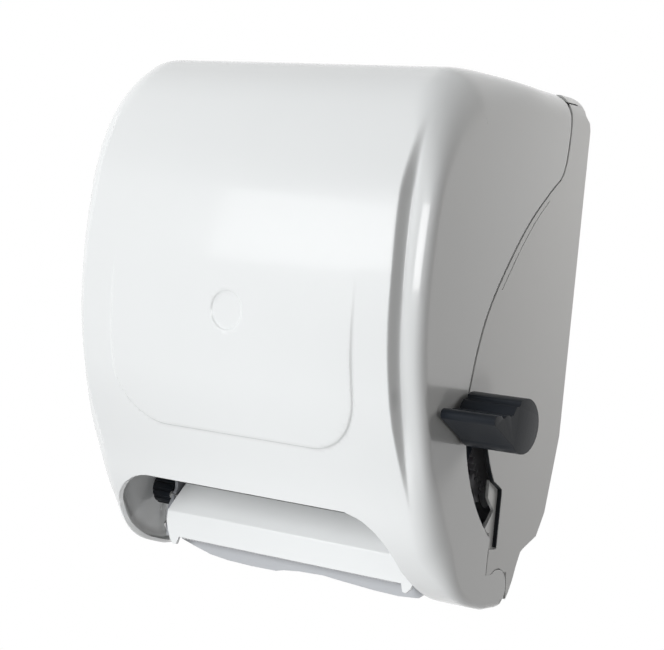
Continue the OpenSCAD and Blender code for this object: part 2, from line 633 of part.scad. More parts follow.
module sector_gear() color(shell_white) seated() difference() {
    translate([0, pivot[0], pivot[1]]) along_x(sector_x, sector_x + 6) difference() {
        sector_outline();
        for (a = [mesh_a - 32, mesh_a - 9]) translate(polar(66, a)) circle(11);
        translate(polar(38, mesh_a - 20)) circle(8);
    }
    rod_x(pivot_pin_r + run_fit, 100, hw, pivot[0], pivot[1]);
    for (a = [mesh_a - 38, mesh_a - 21]) rod_x(2, 100, hw, polar(84, a, pivot)[0], polar(84, a, pivot)[1]);
}

module idler_gear() color(shell_white) seated() difference() {
    union() {
        translate([0, idler[0], idler[1]]) along_x(large_x, large_x + 7)
            gear_outline(large_z, mesh_b);
        translate([0, idler[0], idler[1]]) along_x(large_x + 7, sector_x + 5.4)
            gear_outline(small_z, mesh_a + 180 + 180 / small_z);
        rod_x(6, large_x - 1.6, large_x + 1, idler[0], idler[1]);
    }
    rod_x(3 + run_fit, 100, hw, idler[0], idler[1]);
    for (a = [0:60:300]) rod_x(3.5, 100, large_x + 7.01, polar(15, a, idler)[0], polar(15, a, idler)[1]);
}

module idler_pin() color(steel) seated() {
    rod_x(3, frame_x - 1, sector_x + 6, idler[0], idler[1]);
    rod_x(5, frame_x - 3, frame_x, idler[0], idler[1]);
    rod_x(4.4, sector_x + 5.6, sector_x + 6.4, idler[0], idler[1]);
}

module drive_pinion() color(shell_white) seated() difference() {
    translate([0, roller[0], roller[1]]) along_x(large_x, large_x + 7)
        gear_outline(pinion_z, mesh_b + 180 + 180 / pinion_z);
    rod_x(7, 100, hw, roller[0], roller[1]);
}

// One-way clutch: a hub with pockets for needle rollers, pressed into the pinion.
module clutch_hub() color(steel) seated() difference() {
    union() {
        rod_x(7, large_x - 0.6, large_x + 7.6, roller[0], roller[1]);
        rod_x(9, large_x + 7.2, large_x + 8.4, roller[0], roller[1]);
    }
    rod_x(shaft_r, 100, hw, roller[0], roller[1]);
    for (a = [0:60:300]) rod_x(0.9, large_x + 1, large_x + 10, polar(5.5, a, roller)[0], polar(5.5, a, roller)[1]);
}

// ---------------------------------------------------------------- lever

grip_c = polar(130, lever_rest, pivot); // centre of the grip
arm_t = 7;

module lever_arm() color(black) seated() difference() {
    union() {
        along_x(arm_x, arm_x + arm_t) difference() {
            union() {
                translate(pivot) circle(10);
                hull() {
                    translate(pivot) circle(8);
                    translate(polar(100, lever_rest, pivot)) circle(10);
                }
                // The blade by the slot, with its pointed lower end.
                polygon(concat(arc(128, 181, 198, 6, pivot), [polar(118, 205.7, pivot)],
                    arc(106.3, 200.6, 181.5, 6, pivot)));
                polygon([polar(86, 182, pivot), polar(110, 181, pivot), polar(110, 196, pivot),
                    polar(86, 191, pivot)]);
            }
        }
        // Hub over the pin.
        rod_x(10, sector_x + 6, arm_x + arm_t, pivot[0], pivot[1]);
        // Stem through the slot.
        along_x(arm_x + arm_t - 1, hw + 4) polygon(concat(arc(127.5, 182, 193, 4, pivot),
            arc(112, 193, 182, 4, pivot)));
        // Pegs that carry the sector gear round with the arm.
        for (a = [mesh_a - 38, mesh_a - 21])
            rod_x(2, sector_x + 1, arm_x + 1, polar(84, a, pivot)[0], polar(84, a, pivot)[1]);
        along_x(arm_x, arm_x + 4) hull() {
            translate(polar(84, mesh_a - 38, pivot)) circle(5);
            translate(polar(84, mesh_a - 21, pivot)) circle(5);
        }
    }
    rod_x(pivot_pin_r + run_fit, 100, hw, pivot[0], pivot[1]);
    rod_x(2.1, arm_x - 2, hw + 10, polar(118, 187.5, pivot)[0], polar(118, 187.5, pivot)[1]);
    rod_x(4.3, arm_x - 1, arm_x + 3, polar(118, 187.5, pivot)[0], polar(118, 187.5, pivot)[1]);
}

// The grip: a round barrel with a finger nose that points forward and three flutes.
module grip_outline() {
    translate(grip_c) circle(grip_r);
    nose = grip_c + [-40, 4];
    hull() {
        translate(nose) circle(4);
        translate(grip_c + [-5, 6]) circle(2);
        translate(grip_c + [-2, -grip_r + 4]) circle(4);
    }
}

module lever_grip() color(black) seated() difference() {
    along_x(hw + 4, hw + 4 + grip_l) difference() {
        grip_outline();
        for (f = [[-31.5, 9.2], [-22, 10.5], [-12.5, 17.2]]) translate(grip_c + f) circle(3.4);
    }
    rod_x(2.1, hw, hw + 12, polar(118, 187.5, pivot)[0], polar(118, 187.5, pivot)[1]);
}

module grip_screw() color(steel) seated() {
    c = polar(118, 187.5, pivot);
    rod_x(2.1, arm_x + 2, hw + 12, c[0], c[1]);
    rod_x(4.2, arm_x + 0.2, arm_x + 3, c[0], c[1]);
}

module lever_pivot_pin() color(steel) seated() {
    rod_x(pivot_pin_r, frame_x - 1, hw - 1.8, pivot[0], pivot[1]);
    rod_x(7.5, frame_x - 3, frame_x, pivot[0], pivot[1]);
}

module pivot_washers() color(steel) seated() for (x = [sector_x - 1.4, arm_x + arm_t + 0.3])
    difference() {
        rod_x(7.2, x, x + 1, pivot[0], pivot[1]);
        rod_x(pivot_pin_r, x - 1, x + 2, pivot[0], pivot[1]);
    }

// Rubber stop over the arm, under a ledge of the housing.
stop_x = arm_x + 4.5;
stop_p = polar(70, lever_rest, pivot) + [0, 9.9];
module lever_bumper() color(black) seated() {
    rod_z(4, stop_p[1], stop_p[1] + 4, stop_x, stop_p[0]);
    rod_z(1.6, stop_p[1] + 3.9, stop_p[1] + 7.5, stop_x, stop_p[0]);
}

// Torsion spring round the pivot: one unbroken wire from the frame's edge to the sector gear.
spring_wire_r = 0.9;
spring_r = 8.8;
spring_turns = 4.5;
spring_path = let (x0 = frame_x + frame_t + 1.2, pitch = 1.98, n = 14) concat(
    [[frame_x - 1, pivot[0] + spring_r, pivot[1] + 11], [x0 - 0.9, pivot[0] + spring_r, pivot[1] + 11],
     [x0 - 0.1, pivot[0] + spring_r, pivot[1] + 9.5]],
    [for (k = [0:n * spring_turns]) let (a = 360 * k / n)
        [x0 + pitch * k / n, pivot[0] + spring_r * cos(a), pivot[1] + spring_r * sin(-a)]],
    [[x0 + pitch * spring_turns, pivot[0] - spring_r, pivot[1] + 14],
     [x0 + pitch * spring_turns + 0.8, pivot[0] - spring_r - 0.4, pivot[1] + 16],
     [sector_x + 5, pivot[0] - spring_r - 0.6, pivot[1] + 16]]);
module return_spring() color(steel) seated() tube(spring_path, spring_wire_r, 6);

// A wire of round section along a path, as one closed mesh.
function frame_at(p, i) = let (t = p[min(i + 1, len(p) - 1)] - p[max(i - 1, 0)], u = t / norm(t),
    a = abs(u[0]) < 0.9 ? [1, 0, 0] : [0, 1, 0], b = cross(u, a), v = b / norm(b)) [v, cross(u, v)];
module tube(p, r, n) loft([for (i = [0:len(p) - 1]) let (f = frame_at(p, i))
    [for (k = [0:n - 1]) p[i] + r * (f[0] * cos(360 * k / n) + f[1] * sin(360 * k / n))]]);

// ---------------------------------------------------------------- rollers

module drive_shaft() color(steel) seated() {
    rod_x(shaft_r, -frame_x - 26, large_x + 8.4, roller[0], roller[1]);
    rod_x(roller_r - 3, -frame_x + 4, frame_x - 4, roller[0], roller[1]);
}

module roller_sleeves() color(black) seated() for (x = [-88:44:88]) difference() {
    rod_x(roller_r, x - 15, x + 15, roller[0], roller[1]);
    rod_x(roller_r - 3, x - 16, x + 16, roller[0], roller[1]);
}

module feed_knob() color(black) seated() difference() {
    union() {
        rod_x(13, -frame_x - 27.5, -frame_x - 6.5, roller[0], roller[1]);
        rod_x(7, -frame_x - 7, -frame_x - frame_t - 0.8, roller[0], roller[1]);
        rod_x(11.4, -frame_x - 29, -frame_x - 27.4, roller[0], roller[1]);
    }
    for (a = [0:30:330]) rod_x(1.3, -frame_x - 31, -frame_x - 8, polar(13.4, a, roller)[0], polar(13.4, a, roller)[1]);
    rod_x(shaft_r, -frame_x - 26, -frame_x, roller[0], roller[1]);
}

module pressure_shaft() color(steel) seated() rod_x(2.5, -frame_x + 2, frame_x - 2, press[0], press[1]);

module pressure_sleeves() color(black) seated() for (x = [-88:44:88]) difference() {
    rod_x(press_r, x - 13, x + 13, press[0], press[1]);
    rod_x(2.5, x - 14, x + 14, press[0], press[1]);
}

// Swinging carrier: two cheeks on a cross tube, with stub pins in the side frames.
module pressure_carrier() color(grey) seated() difference() {
    union() {
        both_sides() along_x(frame_x - 5.2, frame_x - 2.2) hull() {
            translate(carrier) circle(6);
            translate(press) circle(5.5);
        }
        rod_x(5, -frame_x + 5, frame_x - 5, carrier[0], carrier[1]);
        both_sides() rod_x(carrier_r, frame_x - 4, frame_x + frame_t, carrier[0], carrier[1]);
    }
    rod_x(2.5 + run_fit, -frame_x, frame_x, press[0], press[1]);
}

// ---------------------------------------------------------------- roll holder

arm_in = roll_w / 2 + 4.5; // inner face of the roll arms
roll_arm_t = 4;
stud_r = 5;

module roll_arm_outline() difference() {
    hull() {
        translate([-22, roll_z]) square([4, 32], center = true);
        translate(roll) circle(13);
    }
    hull() {
        translate([-48, roll_z]) circle(8);
        translate([-86, roll_z]) circle(6);
    }
}

module roll_arm() {
    along_x(arm_in, arm_in + roll_arm_t) roll_arm_outline();
    rod_x(stud_r, roll_w / 2 - 11, arm_in + 1, roll[0], roll[1]);
    rod_x(stud_r + 1.4, roll_w / 2 - 12.6, roll_w / 2 - 10.8, roll[0], roll[1]);
}

// The left arm is fixed to the back wall by its foot.
module left_roll_arm() color(grey) seated() mirror([1, 0, 0]) difference() {
    union() {
        roll_arm();
        translate([arm_in, -30, roll_z - 20]) cube([roll_arm_t, 30 - housing_wall, 40]);
        translate([arm_in - 22, -housing_wall - 3, roll_z - 20]) cube([26, 3, 40]);
    }
    for (z = [-12, 12]) rod_y(2.2, -12, 0, arm_in - 12, roll_z + z);
}

// The right arm swings out on a pin, so that a roll can be loaded.
module right_roll_arm() color(grey) seated() difference() {
    union() {
        roll_arm();
        rod_z(6, roll_z - 16, roll_z + 16, arm_in + 2, -18);
        translate([arm_in, -24, roll_z - 16]) cube([roll_arm_t, 8, 32]);
    }
    rod_z(2.5 + run_fit, roll_z - 30, roll_z + 30, arm_in + 2, -18);
}

module arm_bracket() color(grey) seated() difference() {
    union() {
        translate([arm_in - 24, -housing_wall - 3, roll_z - 24]) cube([34, 3, 48]);
        for (z = [-24, 17]) {
            translate([arm_in - 5, -19, roll_z + z]) cube([14, 19 - housing_wall, 7]);
            rod_z(7, roll_z + z, roll_z + z + 7, arm_in + 2, -18);
        }
    }
    rod_z(2.5, roll_z - 22, roll_z + 30, arm_in + 2, -18);
    for (z = [-12, 12]) rod_y(2.2, -12, 0, arm_in - 16, roll_z + z);
}

module arm_pin() color(steel) seated() {
    rod_z(2.5, roll_z - 22, roll_z + 24, arm_in + 2, -18);
    rod_z(4, roll_z + 24, roll_z + 25.6, arm_in + 2, -18);
}

arm_screw_places = [-arm_in + 12, arm_in - 16];
module arm_screws() color(steel) seated() for (x = arm_screw_places, z = [-12, 12]) {
    rod_y(2.2, -housing_wall - 3.1, -1, x, roll_z + z);
    rod_y(4.2, -housing_wall - 5.4, -housing_wall - 3, x, roll_z + z);
}

module core_hub() difference() {
    union() {
        rod_x(hub_r, roll_w / 2 - 10, roll_w / 2, roll[0], roll[1]);
        rod_x(hub_r + 6, roll_w / 2, roll_w / 2 + 2.5, roll[0], roll[1]);
        rod_x(8, roll_w / 2 + 2, arm_in - 0.4, roll[0], roll[1]);
    }
    rod_x(stud_r + run_fit, roll_w / 2 - 20, roll_w / 2 + 10, roll[0], roll[1]);
    rod_x(hub_r - 3, roll_w / 2 - 15, roll_w / 2 - 4, roll[0], roll[1]);
}

module right_core_hub() color(black) seated() core_hub();
module left_core_hub() color(black) seated() mirror([1, 0, 0]) core_hub();

rear_housing();
left_frame();
right_frame();
frame_screws();
chute_nose();
nose_screws();
tear_bar();
tear_bar_screws();
chute_lip();
paper_guide();
roller_bushes();
lever_pivot_pin();
idler_pin();
pivot_washers();
lever_bumper();
slot_liner();
return_spring();
latch_strike();
strike_screws();
left_roll_arm();
arm_bracket();
arm_screws();
arm_pin();
front_cover();
hinge_pins();
lock_nut();
lock_barrel();
lock_cylinder();
lock_cam();
cam_screw();
lever_arm();
sector_gear();
lever_grip();
grip_screw();
idler_gear();
drive_shaft();
roller_sleeves();
drive_pinion();
clutch_hub();
feed_knob();
pressure_carrier();
pressure_shaft();
pressure_sleeves();
right_roll_arm();
left_core_hub();
right_core_hub();
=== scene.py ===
"""Looks of a lever towel dispenser: the moulded cover, the finishes, the camera and the lamps."""
import json
import math

import bmesh
import bpy
import numpy as np
from mathutils import Matrix, Vector, geometry


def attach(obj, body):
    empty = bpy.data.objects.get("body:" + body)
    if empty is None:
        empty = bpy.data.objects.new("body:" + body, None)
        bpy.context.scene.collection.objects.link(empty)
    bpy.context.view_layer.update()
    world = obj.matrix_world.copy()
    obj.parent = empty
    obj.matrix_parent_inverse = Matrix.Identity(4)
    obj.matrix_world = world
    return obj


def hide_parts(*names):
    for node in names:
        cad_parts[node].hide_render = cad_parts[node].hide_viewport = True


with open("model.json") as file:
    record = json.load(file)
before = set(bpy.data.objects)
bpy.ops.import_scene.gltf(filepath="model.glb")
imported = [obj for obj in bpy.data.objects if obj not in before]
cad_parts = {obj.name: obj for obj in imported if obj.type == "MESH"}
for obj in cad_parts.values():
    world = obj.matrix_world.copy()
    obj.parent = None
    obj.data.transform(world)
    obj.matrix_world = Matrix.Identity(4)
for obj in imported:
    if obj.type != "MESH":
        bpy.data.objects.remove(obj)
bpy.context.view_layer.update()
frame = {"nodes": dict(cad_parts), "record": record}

# Heights are measured in mm from the cover's lowest point, as in the part's source.
SCREW_Z = 240.0
CASE_W, CASE_H, CASE_D = 320.0, 398.0, 225.0
HW = CASE_W / 2
HINGE = (-78.0, 15.0)           # (y, z) of the cover's hinge
HINGE_R = 15.0                  # the cover's foot round the hinge
PIVOT = (-17.0, 160.0)          # (y, z) of the lever's pin
CUT_Z = 67.5                    # top of the cut-out
PANEL = (112.0, 114.0, 1.4)     # half width, lower edge and height of the raised panel
PANEL_R = 45.0                  # the panel's lower corners
PANEL_TOP = 255.0               # above this the panel has faded out
DISC = (14.0, 207.0)            # radius and height of the bare badge recess
RECESS = 1.0                    # its depth
WALL = 3.0                      # the cover's wall
SLOT_R = 131.0                  # the cover's edge along the lever slot, about the lever's pin
EDGE = HW + 2.2                 # across, where the skin joins the flat sides
FOOT_X = 129.5                  # inner edge of the cover's right foot
LOCK = (-60.0, 11.7)            # y and radius of the lock's hole


def row(p):
    """mm over the cover's lowest point -> metres in the row frame"""
    p = np.asarray(p, float)
    return (p - np.array([0, 0, SCREW_Z])) / 1000.0


# ------------------------------------------------------------------ materials


def group(name, sockets):
    g = bpy.data.node_groups.new(name, "ShaderNodeTree")
    for label, kind, way, value in sockets:
        s = g.interface.new_socket(name=label, in_out=way, socket_type=kind)
        if value is not None:
            s.default_value = value
    return g, g.nodes.new("NodeGroupInput"), g.nodes.new("NodeGroupOutput")


def wire(tree, a, b):
    tree.links.new(a, b)


def make_skin_group():
    """Fine unevenness of moulded plastic: roughness variation, a slow tint and a bump."""
    g, i, o = group("moulded_skin", [
        ("Scale", "NodeSocketFloat", "INPUT", 30.0), ("Bump", "NodeSocketFloat", "INPUT", 0.02),
        ("Rough", "NodeSocketFloat", "INPUT", 0.3), ("Vary", "NodeSocketFloat", "INPUT", 0.04),
        ("Edge", "NodeSocketFloat", "INPUT", 0.0006),
        ("Roughness", "NodeSocketFloat", "OUTPUT", None), ("Normal", "NodeSocketVector", "OUTPUT", None),
        ("Mask", "NodeSocketFloat", "OUTPUT", None)])
    n = g.nodes
    co = n.new("ShaderNodeTexCoord")
    big = n.new("ShaderNodeTexNoise")
    big.inputs["Detail"].default_value = 4
    wire(g, co.outputs["Object"], big.inputs["Vector"])
    wire(g, i.outputs["Scale"], big.inputs["Scale"])
    fine = n.new("ShaderNodeTexNoise")
    fine.inputs["Scale"].default_value = 420
    fine.inputs["Detail"].default_value = 2
    wire(g, co.outputs["Object"], fine.inputs["Vector"])
    m = n.new("ShaderNodeMath")
    m.operation = "MULTIPLY_ADD"
    wire(g, big.outputs["Fac"], m.inputs[0])
    wire(g, i.outputs["Vary"], m.inputs[1])
    wire(g, i.outputs["Rough"], m.inputs[2])
    wire(g, m.outputs[0], o.inputs["Roughness"])
    bev = n.new("ShaderNodeBevel")
    bev.samples = 6
    wire(g, i.outputs["Edge"], bev.inputs["Radius"])
    b = n.new("ShaderNodeBump")
    b.inputs["Distance"].default_value = 0.0004
    wire(g, i.outputs["Bump"], b.inputs["Strength"])
    wire(g, fine.outputs["Fac"], b.inputs["Height"])
    wire(g, bev.outputs["Normal"], b.inputs["Normal"])
    wire(g, b.outputs["Normal"], o.inputs["Normal"])
    wire(g, big.outputs["Fac"], o.inputs["Mask"])
    return g


SKIN = make_skin_group()


def plastic(name, colour, rough, vary=0.05, bump=0.02, scale=30.0, coat=0.0, metal=0.0, edge=0.0006,
            tint=0.94, specular=0.5):
    m = bpy.data.materials.new(name)
    m.use_nodes = True
    t = m.node_tree
    p = t.nodes["Principled BSDF"]
    p.inputs["Metallic"].default_value = metal
    p.inputs["Coat Weight"].default_value = coat
    p.inputs["Coat Roughness"].default_value = 0.06
    p.inputs["Specular IOR Level"].default_value = specular
    g = t.nodes.new("ShaderNodeGroup")
    g.node_tree = SKIN
    for k, v in (("Scale", scale), ("Bump", bump), ("Rough", rough - vary / 2), ("Vary", vary),
                 ("Edge", edge)):
        g.inputs[k].default_value = v
    wire(t, g.outputs["Roughness"], p.inputs["Roughness"])
    wire(t, g.outputs["Normal"], p.inputs["Normal"])
    mix = t.nodes.new("ShaderNodeMix")
    mix.data_type = "RGBA"
    mix.inputs["A"].default_value = (*[c * tint for c in colour], 1)
    mix.inputs["B"].default_value = (*colour, 1)
    wire(t, g.outputs["Mask"], mix.inputs["Factor"])
    wire(t, mix.outputs["Result"], p.inputs["Base Color"])
    return m


WHITE = plastic("gloss_white", (0.78, 0.79, 0.79), 0.22, vary=0.05, bump=0.03, coat=0.6, tint=0.985)
WHITE2 = plastic("housing_white", (0.77, 0.775, 0.77), 0.3, vary=0.05, bump=0.04, coat=0.4, tint=0.98)
# The chute lip is the same white plastic as the nose, darkened to paint the shade that falls under the nose.
LIP_PAINTED_SHADE = plastic("chute_lip_white_painted_shade", (0.45, 0.46, 0.48), 0.35, vary=0.05, bump=0.04, coat=0.2, tint=0.98)
BLACK = plastic("black_grip", (0.012, 0.015, 0.020), 0.32, vary=0.1, bump=0.12, tint=0.8, specular=0.16)
GREY = plastic("grey_plastic", (0.30, 0.31, 0.33), 0.45, vary=0.1, bump=0.1)
DARK = plastic("dark_gears", (0.36, 0.36, 0.38), 0.5, vary=0.1, bump=0.08, tint=0.92)
NATURAL = plastic("natural_nylon", (0.72, 0.71, 0.66), 0.42, vary=0.1, bump=0.06)
RUBBER = plastic("rubber", (0.022, 0.022, 0.023), 0.7, vary=0.15, bump=0.3, scale=80, tint=0.7)
STEEL = plastic("steel", (0.56, 0.56, 0.57), 0.32, vary=0.15, bump=0.05, metal=1.0, scale=90, tint=0.85,
                edge=0.0003)
SCREWS = plastic("screw_zinc", (0.50, 0.50, 0.50), 0.35, vary=0.15, bump=0.05, metal=1.0, scale=120, tint=0.8,
                 edge=0.0003)
CHROME = plastic("lock_chrome", (0.72, 0.72, 0.73), 0.12, vary=0.06, bump=0.01, metal=1.0, tint=0.92,
                 edge=0.0003)
# The finish of each of the record's material slots, and of the nodes that differ from their slot.
SLOT_MATERIAL = {"white_shell": WHITE2, "grey_plastic": GREY, "natural_plastic": NATURAL,
                 "black_plastic": BLACK, "dark_plastic": DARK, "rubber": RUBBER, "steel": STEEL,
                 "screw_steel": SCREWS, "chrome": CHROME}
# chute_lip takes the darkened white: painted shade under the nose, not a grey plastic.
NODE_MATERIAL = {"chute_nose": WHITE, "chute_lip": LIP_PAINTED_SHADE}

# ------------------------------------------------------------------ the cover's outline

# (y, z) along the cover's middle, from the seam at the top over the front to the foot.
CROWN_POINTS = [(0, CASE_H - 4), (-60, CASE_H - 3), (-(CASE_D - 72), CASE_H), (-(CASE_D - 38), CASE_H - 12),
                (-(CASE_D - 16), CASE_H - 38), (-(CASE_D - 6), CASE_H - 78), (-CASE_D, CASE_H - 145),
                (-(CASE_D - 2), 200), (-(CASE_D - 11), 156), (-(CASE_D - 29), 102), (-(CASE_D - 52), 54),
                (-(CASE_D - 78), 23), (-(CASE_D - 103), 7), (HINGE[0] - 14, 0)]
# (y, z) of the seam between cover and housing, from the top down to the lever slot.
SEAM_POINTS = [(-36, CASE_H + 6), (-34.5, CASE_H - 14), (-32.6, CASE_H - 34), (-37.4, CASE_H - 64),
               (-55, CASE_H - 80), (-81.6, CASE_H - 104), (-106, CASE_H - 134), (-128.7, CASE_H - 169),
               (-140.6, CASE_H - 199), (PIVOT[0] - 130.8, PIVOT[1] + 6)]


def curve(points, steps):
    """A smooth curve through the points."""
    p = np.array(points, float)
    out = []
    for i in range(len(p) - 1):
        a, b, c, d = p[max(i - 1, 0)], p[i], p[i + 1], p[min(i + 2, len(p) - 1)]
        for k in range(steps):
            t = k / steps
            out.append(0.5 * (2 * b + (c - a) * t + (2 * a - 5 * b + 4 * c - d) * t * t
                              + (3 * b - a - 3 * c + d) * t ** 3))
    return np.array(out + [p[-1]])


def resample(p, step):
    """The same line with even steps, and the length along it."""
    d = np.r_[0, np.cumsum(np.linalg.norm(np.diff(p, axis=0), axis=1))]
    s = np.linspace(0, d[-1], int(round(d[-1] / step)) + 1)
    return s, np.c_[np.interp(s, d, p[:, 0]), np.interp(s, d, p[:, 1])]


def smooth(t):
    t = np.clip(t, 0, 1)
    return t * t * (3 - 2 * t)


crown = curve(CROWN_POINTS, 24)
crown = np.vstack([crown, [[HINGE[0], 0.0], [HINGE[0] + 20, 0.0]]])
CS, CP = resample(crown, 1.0)
tangent = np.gradient(CP, axis=0)
kernel = np.ones(9) / 9
tangent = np.c_[[np.convolve(np.pad(tangent[:, k], 4, "edge"), kernel, "valid") for k in (0, 1)]].T
tangent /= np.linalg.norm(tangent, axis=1)[:, None]
CN = np.c_[tangent[:, 1], -tangent[:, 0]]
FLOOR_S = CS[np.argmax(CP[:, 1] < 0.4)]


def crown_at(s):
    """y, z and the outward direction of the crown line at the length s."""
    return [np.interp(s, CS, a) for a in (CP[:, 0], CP[:, 1], CN[:, 0], CN[:, 1])]


def groove_x(z):
    """Half the distance between the feet of the bulge's flanks."""
    return 145.5 - 1.5 * smooth((z - 230) / 70)


def bulge(z):
    """Height of the bulge over the crown."""
    return 10.0 * smooth((z - 72) / 88) * smooth((CASE_H - 36 - z) / 66)


def side_r(y, z):
    """Rounding between the front and a side: small at the foot, large in the top corners of the front."""
    return 5 + 15 * smooth(z / 45) + 17 * smooth((z - 318) / 70) * smooth((-y - 70) / 90)


def bulge_share(d, z):
    """By the distance inside the flank's foot: flat, a rounded shoulder and a steep flank."""
    w = np.interp(z, [120, 150, 220, 290], [3.6, 4.0, 6.0, 7.4])
    t = np.clip((d + w) / w, 0, 1)
    return 1 - t ** 3 * (t * (6 * t - 15) + 10)


def panel_inside(x, z):
    """Distance inside the raised panel's outline."""
    r = PANEL_R
    qx, qz = np.abs(x) - (PANEL[0] - r), (PANEL[1] + r) - z
    return np.where((qx > 0) & (qz > 0), r - np.hypot(qx, qz), r - np.maximum(qx, qz))


def rounding(u, r, t, z):
    """How far the face falls back at u inside its rounding: a wide arc, then a tighter one along the rim."""
    circle = r - np.sqrt(np.maximum((r - t) ** 2 - u * u, 0))
    a = math.radians(27)
    wide, tight = 0.7 * r / math.sin(a) - t, 0.3 * r / (1 - math.sin(a)) - t
    first = t + wide - np.sqrt(np.maximum(wide ** 2 - u * u, 0))
    v = u - (r - t) + tight
    second = t + wide * (1 - math.cos(a)) + tight * math.cos(a) - np.sqrt(np.maximum(tight ** 2 - v * v, 0))
    arcs = np.where(u < wide * math.sin(a), first, second)
    share = smooth((z - 60) / 60) * smooth((345 - z) / 55)
    return circle + share * (arcs - circle)


def skin(x, s, t=0.0):
    """The cover's outer face, or the face t inside it. Past the edge it runs on down the flat side."""
    y, z, ny, nz = crown_at(s)
    r = side_r(y, z)
    over = np.maximum(np.abs(x) - HW, 0)
    xx = np.clip(x, -HW, HW) * (HW - t) / HW
    u = np.clip(np.abs(xx) - (HW - r), 0, r - t)
    inset = rounding(u, r, t, z) + over
    k = bulge(z) * bulge_share(np.abs(xx) - (groove_x(z) - 0.9 * t), z) - inset
    if t == 0:
        front = (y < -100).astype(float)
        k = k + front * PANEL[2] * smooth(panel_inside(x, z) / 1.6) * smooth((250 - z) / 70)
        rr = np.hypot(x, z - DISC[1])
        k = k - front * RECESS * smooth((DISC[0] + 0.6 - rr) / 1.2)
    return np.stack([xx, y + ny * k, z + nz * k], -1)


def seam_y(z):
    """y of the seam at the height z."""
    c = curve(SEAM_POINTS, 12)
    o = np.argsort(c[:, 1])
    return np.interp(z, c[o, 1], c[o, 0])


def inside(poly, pts):
    """Which points lie inside a polygon."""
    x, y = pts[:, 0], pts[:, 1]
    res = np.zeros(len(pts), bool)
    a, b = poly, np.roll(poly, -1, axis=0)
    for (x0, y0), (x1, y1) in zip(a, b):
        if y0 != y1:
            c = (y0 > y) != (y1 > y)
            res ^= c & (x < (x1 - x0) * (y - y0) / (y1 - y0) + x0)
    return res


def near(points, others, d):
    """Which points lie closer than d to any of the others."""
    out = np.zeros(len(points), bool)
    for k in range(0, len(others), 400):
        o = others[k:k + 400]
        out |= (np.hypot(points[:, None, 0] - o[None, :, 0], points[:, None, 1] - o[None, :, 1]) < d).any(1)
    return out


def triangulate(boundary, loops, interior, holes=()):
    """Triangles of the region inside the boundary and outside the holes, with the loops' edges kept."""
    verts, edges = [], []
    for line, closed in [(boundary, True)] + loops + [(h, True) for h in holes]:
        n0 = len(verts)
        verts += [tuple(p) for p in line]
        edges += [(n0 + k, n0 + k + 1) for k in range(len(line) - 1)]
        if closed:
            edges.append((n0 + len(line) - 1, n0))
    fixed = np.array(verts)
    keep = inside(boundary, interior)
    interior = interior[keep]
    interior = interior[~near(interior, fixed, 0.7)]
    verts += [tuple(p) for p in interior]
    v, _, f, _, _, _ = geometry.delaunay_2d_cdt([Vector(p) for p in verts], edges, [], 0, 1e-5)
    v = np.array([tuple(p) for p in v])
    f = np.array([t for t in f if len(t) == 3])
    c = v[f].mean(1)
    ok = inside(boundary, c)
    for h in holes:
        ok &= ~inside(h, c)
    return v, f[ok]


def line(a, b, step):
    """Points from a to just before b."""
    n = max(1, int(math.ceil(np.hypot(b[0] - a[0], b[1] - a[1]) / step)))
    return [(a[0] + (b[0] - a[0]) * k / n, a[1] + (b[1] - a[1]) * k / n) for k in range(n)]


def arc(c, r, a0, a1, n):
    """n points from the angle a0 to just before a1, in degrees."""
    return [(c[0] + r * math.cos(math.radians(a0 + (a1 - a0) * k / n)),
             c[1] + r * math.sin(math.radians(a0 + (a1 - a0) * k / n))) for k in range(n)]


def s_at_z(x, z):
    """Along the crown, the place at x where the skin passes the height z on its front."""
    s = np.linspace(150, CS[-1] - 22, 900)
    zz = skin(np.full_like(s, x), s)[:, 2]
    k = np.argmin(np.abs(zz - z) + 1000 * (s < 240))
    return s[k]


def rear_s(x):
    """Where the skin meets the seam at the top."""
    s = np.linspace(0, 120, 961)
    p = skin(np.full_like(s, x), s)
    return s[np.argmax(p[:, 1] < seam_y(p[:, 2]))]


def floor_s(x):
    """Where the floor under the hinge ends."""
    s = np.linspace(FLOOR_S, CS[-1], 600)
    p = skin(np.full_like(s, x), s)
    lobe = HINGE[0] + np.sqrt(np.maximum(HINGE_R ** 2 - (HINGE_R - p[:, 2]) ** 2, 0))
    over = p[:, 1] > np.maximum(lobe, HINGE[0])
    return s[np.argmax(over)] if over.any() else s[-1]


def columns():
    """Distances across at which the skin is sampled, on one side."""
    return np.r_[np.arange(0, 104, 4.0), np.arange(104, 134, 2.0), np.arange(134, 147, 0.5),
                 HW - 20 + 20 * np.sin(np.radians(np.linspace(24, 90, 13))), HW + 1.0, EDGE]


def front_s(z):
    """Along the crown, where its front passes the heights z."""
    front = CP[::-1, 0] < -120
    return np.interp(z, CP[::-1, 1][front], CS[::-1][front])


